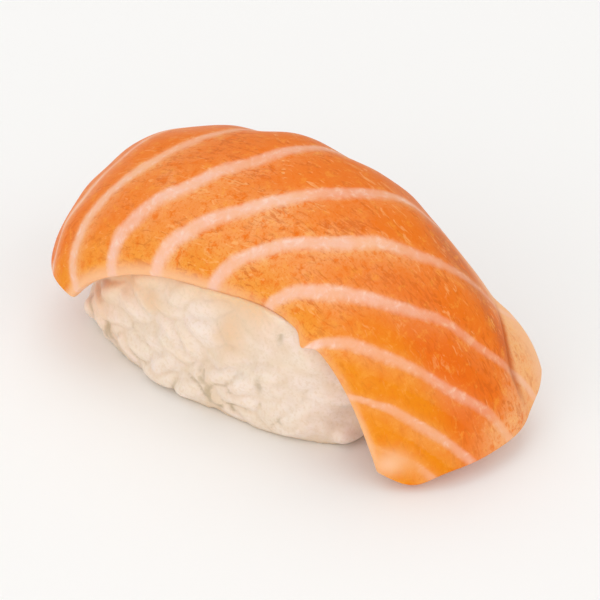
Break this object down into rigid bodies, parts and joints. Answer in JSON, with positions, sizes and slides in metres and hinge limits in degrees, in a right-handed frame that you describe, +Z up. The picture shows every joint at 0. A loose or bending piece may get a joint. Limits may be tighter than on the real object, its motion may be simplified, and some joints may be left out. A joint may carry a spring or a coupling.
{
  "type": "salmon nigiri",
  "caption": "One piece of salmon nigiri: a hand-pressed oblong of vinegared rice with a striped slice of raw salmon draped along it.",
  "frame": {"origin": "centre of the underside: the middle of the bounding box, on the surface that the piece stands on", "axes": "+X along the piece towards the end where the slice hangs down to the board, +Z up, -Y the side where more rice shows"},
  "size_m": [0.0694, 0.0317, 0.0293],
  "materials": {
    "rice": "moist, pearly cooked rice",
    "salmon": "moist raw salmon with pale fat lines"
  },
  "bodies": {
    "root": {"rice": "rice", "salmon": "salmon"}
  },
  "joints": []
}
